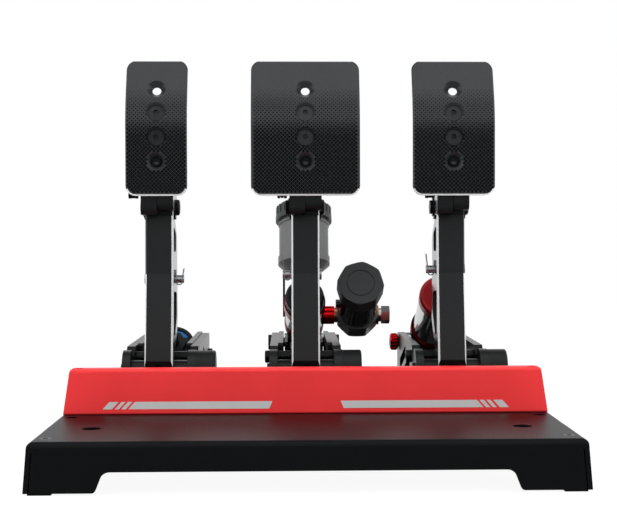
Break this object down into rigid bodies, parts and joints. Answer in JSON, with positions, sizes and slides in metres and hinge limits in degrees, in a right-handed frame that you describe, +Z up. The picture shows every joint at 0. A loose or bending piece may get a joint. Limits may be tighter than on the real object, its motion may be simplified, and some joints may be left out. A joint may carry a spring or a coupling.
{
  "type": "sim racing pedal set",
  "caption": "Clutch, brake and throttle pedals with arms, frames and damper units on a bent-sheet base with a red heel stop.",
  "frame": {"origin": "on the floor under the middle of the base", "axes": "+X to the driver's right, +Y away from the driver, +Z up"},
  "size_m": [0.3538, 0.3844, 0.288],
  "materials": {
    "base_feet": "black rubber",
    "base_screws": "black zinc",
    "base_tray": "black powder coat, satin",
    "brake_adapter": "red anodised",
    "brake_arm": "black anodised",
    "brake_arm_pins": "zinc plated",
    "brake_bleed_bolt": "plated, with copper washers",
    "brake_bracket": "black anodised",
    "brake_cap": "black anodised",
    "brake_chamber": "black anodised",
    "brake_chamber_base": "black anodised",
    "brake_chamber_cap": "black anodised",
    "brake_collars": "red anodised",
    "brake_cylinder": "machined",
    "brake_face": "dark anodised, embossed grip",
    "brake_face_screws": "zinc plated",
    "brake_hose": "black rubber",
    "brake_hose_clamps": "plated",
    "brake_plate_left": "black powder coat",
    "brake_plate_right": "black powder coat",
    "brake_reservoir": "translucent white moulded",
    "brake_reservoir_cap": "black ribbed",
    "brake_rod": "ground",
    "brake_shaft": "ground",
    "clutch_arm": "black anodised",
    "clutch_arm_pins": "zinc plated",
    "clutch_bracket": "black anodised",
    "clutch_elastomer": "blue elastomer",
    "clutch_face": "dark anodised, embossed grip",
    "clutch_face_screws": "zinc plated",
    "clutch_housing": "dark anodised",
    "clutch_plate_left": "black powder coat",
    "clutch_plate_right": "black powder coat",
    "clutch_rod": "ground",
    "clutch_shaft": "ground",
    "frame_bolts": "black oxide",
    "frame_feet": "black powder coat",
    "frame_rails": "black powder coat",
    "frame_spacer_bolts": "zinc plated",
    "frame_spacers": "turned",
    "heel_stop": "red powder coat, satin",
    "heel_stop_screws": "black zinc",
    "pivot_sensors": "black moulded",
    "pivot_spacers": "turned",
    "rear_pins": "black oxide",
    "reservoir_bracket": "black",
    "throttle_arm": "black anodised",
    "throttle_arm_pins": "zinc plated",
    "throttle_bracket": "black anodised",
    "throttle_cap": "red anodised",
    "throttle_collar": "red anodised",
    "throttle_face": "dark anodised, embossed grip",
    "throttle_face_screws": "zinc plated",
    "throttle_knob": "red anodised",
    "throttle_plate_left": "black powder coat",
    "throttle_plate_right": "black powder coat",
    "throttle_rod": "ground",
    "throttle_shaft": "ground",
    "throttle_tube": "polished"
  },
  "bodies": {
    "base": {"base_tray": "base_tray", "base_feet": "base_feet", "base_screws": "base_screws", "heel_stop": "heel_stop", "heel_stop_screws": "heel_stop_screws", "frame_feet": "frame_feet", "frame_bolts": "frame_bolts", "frame_spacers": "frame_spacers", "frame_spacer_bolts": "frame_spacer_bolts", "frame_rails": "frame_rails", "pivot_spacers": "pivot_spacers", "pivot_sensors": "pivot_sensors", "rear_pins": "rear_pins", "clutch_plate_left": "clutch_plate_left", "clutch_plate_right": "clutch_plate_right", "brake_plate_left": "brake_plate_left", "brake_plate_right": "brake_plate_right", "throttle_plate_left": "throttle_plate_left", "throttle_plate_right": "throttle_plate_right"},
    "clutch_pedal": {"clutch_arm": "clutch_arm", "clutch_shaft": "clutch_shaft", "clutch_bracket": "clutch_bracket", "clutch_face": "clutch_face", "clutch_face_screws": "clutch_face_screws", "clutch_arm_pins": "clutch_arm_pins"},
    "clutch_plunger": {"clutch_rod": "clutch_rod"},
    "brake_pedal": {"brake_arm": "brake_arm", "brake_shaft": "brake_shaft", "brake_bracket": "brake_bracket", "brake_face": "brake_face", "brake_face_screws": "brake_face_screws", "brake_arm_pins": "brake_arm_pins"},
    "brake_plunger": {"brake_rod": "brake_rod"},
    "throttle_pedal": {"throttle_arm": "throttle_arm", "throttle_shaft": "throttle_shaft", "throttle_bracket": "throttle_bracket", "throttle_face": "throttle_face", "throttle_face_screws": "throttle_face_screws", "throttle_arm_pins": "throttle_arm_pins"},
    "throttle_plunger": {"throttle_rod": "throttle_rod"},
    "clutch_unit": {"clutch_housing": "clutch_housing", "clutch_elastomer": "clutch_elastomer"},
    "throttle_unit": {"throttle_cap": "throttle_cap", "throttle_tube": "throttle_tube", "throttle_collar": "throttle_collar"},
    "throttle_adjuster": {"throttle_knob": "throttle_knob"},
    "brake_unit": {"brake_cap": "brake_cap", "brake_cylinder": "brake_cylinder", "brake_collars": "brake_collars", "brake_adapter": "brake_adapter", "brake_chamber": "brake_chamber", "brake_chamber_cap": "brake_chamber_cap", "brake_chamber_base": "brake_chamber_base", "brake_bleed_bolt": "brake_bleed_bolt", "brake_reservoir": "brake_reservoir", "brake_hose": "brake_hose", "brake_hose_clamps": "brake_hose_clamps", "reservoir_bracket": "reservoir_bracket"},
    "reservoir_lid": {"brake_reservoir_cap": "brake_reservoir_cap"}
  },
  "joints": [
    {"name": "clutch_pedal_pivot", "type": "hinge", "parent": "base", "child": "clutch_pedal", "pos_m": [-0.10821, -0.01398, 0.06], "axis": [-1, 0, 0], "range_deg": [0, 18], "stiffness_Nm_per_rad": 60, "springref_deg": -5.73},
    {"name": "clutch_unit_swing", "type": "hinge", "parent": "base", "child": "clutch_unit", "pos_m": [-0.10821, 0.14001, 0.057], "axis": [-1, 0, 0], "range_deg": [0, 1.19]},
    {"name": "clutch_rod_slide", "type": "slide", "parent": "clutch_unit", "child": "clutch_plunger", "axis": [0, 0.8935, -0.4491], "range_m": [0, 0.0214]},
    {"name": "brake_pedal_pivot", "type": "hinge", "parent": "base", "child": "brake_pedal", "pos_m": [0, -0.01398, 0.06], "axis": [-1, 0, 0], "range_deg": [0, 9], "stiffness_Nm_per_rad": 400, "springref_deg": -5.73},
    {"name": "brake_unit_swing", "type": "hinge", "parent": "base", "child": "brake_unit", "pos_m": [0, 0.14001, 0.0685], "axis": [-1, 0, 0], "range_deg": [0, 0.75]},
    {"name": "brake_rod_slide", "type": "slide", "parent": "brake_unit", "child": "brake_plunger", "axis": [0, 0.9142, -0.4053], "range_m": [0, 0.0113]},
    {"name": "throttle_pedal_pivot", "type": "hinge", "parent": "base", "child": "throttle_pedal", "pos_m": [0.10821, -0.01398, 0.06], "axis": [-1, 0, 0], "range_deg": [0, 18], "stiffness_Nm_per_rad": 25, "springref_deg": -5.73},
    {"name": "throttle_unit_swing", "type": "hinge", "parent": "base", "child": "throttle_unit", "pos_m": [0.10821, 0.14001, 0.0685], "axis": [-1, 0, 0], "range_deg": [0, 1.25]},
    {"name": "throttle_rod_slide", "type": "slide", "parent": "throttle_unit", "child": "throttle_plunger", "axis": [0, 0.9055, -0.4243], "range_m": [0, 0.0235]},
    {"name": "reservoir_lid_turn", "type": "hinge", "parent": "brake_unit", "child": "reservoir_lid", "pos_m": [0, 0.09158, 0.12707], "axis": [0, 0.342, 0.9397], "continuous": true},
    {"name": "adjuster_turn", "type": "hinge", "parent": "base", "child": "throttle_adjuster", "pos_m": [0.10821, 0.14001, 0.0685], "axis": [-1, 0, 0], "continuous": true}
  ],
  "couplings": [
    {"joint": "clutch_unit_swing", "follows": "clutch_pedal_pivot", "ratio": 0.0636},
    {"joint": "clutch_rod_slide", "follows": "clutch_pedal_pivot", "m_per_rad": 0.0679},
    {"joint": "brake_unit_swing", "follows": "brake_pedal_pivot", "ratio": 0.0776},
    {"joint": "brake_rod_slide", "follows": "brake_pedal_pivot", "m_per_rad": 0.071},
    {"joint": "throttle_unit_swing", "follows": "throttle_pedal_pivot", "ratio": 0.0664},
    {"joint": "throttle_rod_slide", "follows": "throttle_pedal_pivot", "m_per_rad": 0.0745}
  ]
}
